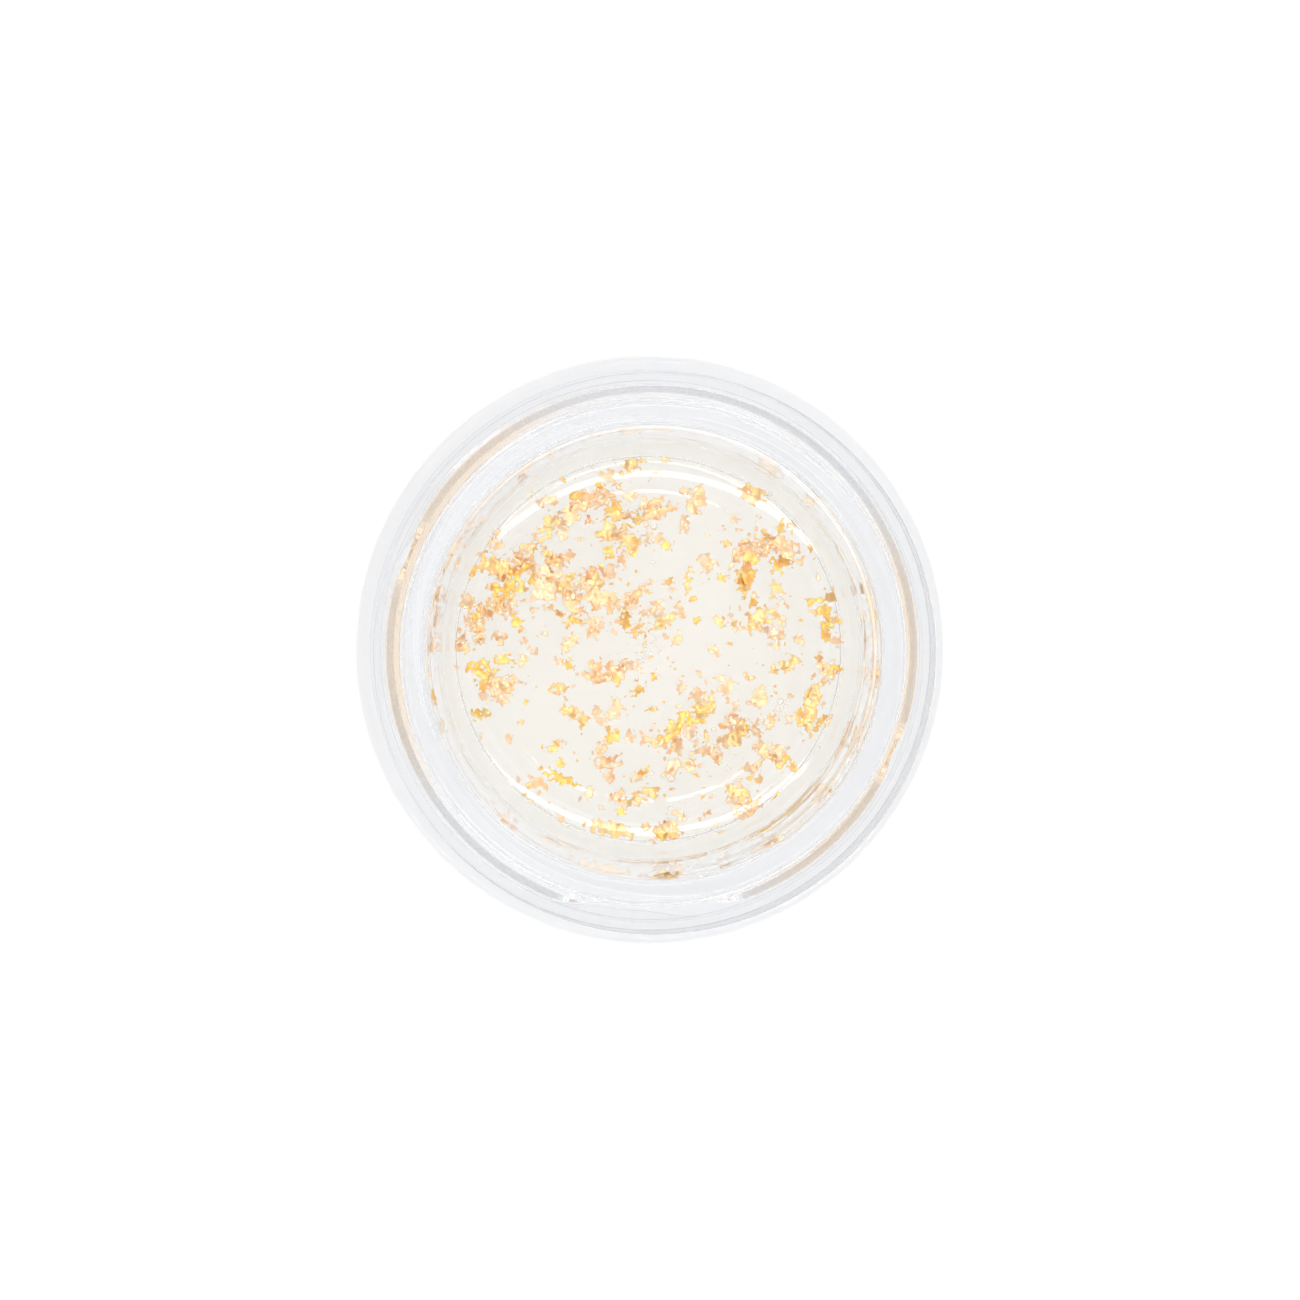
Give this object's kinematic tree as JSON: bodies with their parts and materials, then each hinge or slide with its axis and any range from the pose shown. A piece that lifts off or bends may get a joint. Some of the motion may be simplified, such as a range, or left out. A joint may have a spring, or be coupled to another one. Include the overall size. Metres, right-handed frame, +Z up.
{
  "type": "gold sample vial",
  "caption": "Clear thick-walled screw-neck sample vial holding gold leaf flakes in clear gel, closed by a clear screw cap on a sealing ring.",
  "frame": {"origin": "centre of the base ring that the vial stands on", "axes": "+Z up along the vial's axis, towards the cap; +Y away from the gap in the neck thread"},
  "size_m": [0.029, 0.029, 0.0162],
  "materials": {
    "vial_plastic": "polished",
    "cap_plastic": "polished",
    "seal_rubber": "satin",
    "clear_gel": "gloss",
    "yellow_gold": "polished",
    "rose_gold": "polished"
  },
  "bodies": {
    "vial": {"vial_body": "vial_plastic", "gel_fill": "clear_gel", "gold_flake_01": "yellow_gold", "gold_flake_02": "rose_gold", "gold_flake_03": "rose_gold", "gold_flake_04": "yellow_gold", "gold_flake_05": "yellow_gold", "gold_flake_06": "yellow_gold", "gold_flake_07": "yellow_gold", "gold_flake_08": "yellow_gold", "gold_flake_09": "rose_gold", "gold_flake_10": "rose_gold", "gold_flake_11": "yellow_gold", "gold_flake_12": "rose_gold", "gold_flake_13": "rose_gold", "gold_flake_14": "rose_gold", "gold_flake_15": "rose_gold", "gold_flake_16": "yellow_gold", "gold_flake_17": "rose_gold", "gold_flake_18": "yellow_gold", "gold_flake_19": "rose_gold", "gold_flake_20": "rose_gold", "gold_flake_21": "yellow_gold", "gold_flake_22": "yellow_gold", "gold_flake_23": "yellow_gold", "gold_flake_24": "rose_gold", "gold_flake_25": "yellow_gold", "gold_flake_26": "rose_gold", "gold_flake_27": "rose_gold", "gold_flake_28": "yellow_gold", "gold_flake_29": "rose_gold", "gold_flake_30": "yellow_gold", "gold_flake_31": "rose_gold", "gold_flake_32": "yellow_gold", "gold_flake_33": "yellow_gold", "gold_flake_34": "yellow_gold", "gold_flake_35": "yellow_gold", "gold_flake_36": "rose_gold", "gold_flake_37": "rose_gold", "gold_flake_38": "rose_gold", "gold_flake_39": "yellow_gold", "gold_flake_40": "yellow_gold", "gold_flake_41": "yellow_gold", "gold_flake_42": "yellow_gold", "gold_flake_43": "rose_gold", "gold_flake_44": "yellow_gold", "gold_flake_45": "rose_gold", "gold_flake_46": "yellow_gold", "gold_flake_47": "yellow_gold"},
    "seal": {"seal_ring": "seal_rubber"},
    "cap": {"screw_cap": "cap_plastic"}
  },
  "joints": [
    {"name": "cap_lift", "type": "slide", "parent": "vial", "child": "seal", "axis": [0, 0, 1], "range_m": [0, 0.0045]},
    {"name": "cap_turn", "type": "hinge", "parent": "seal", "child": "cap", "pos_m": [0, 0, 0.0125], "axis": [0, 0, 1], "range_deg": [0, 540]}
  ],
  "couplings": [
    {"joint": "cap_lift", "follows": "cap_turn", "m_per_rad": 0.00047746}
  ]
}
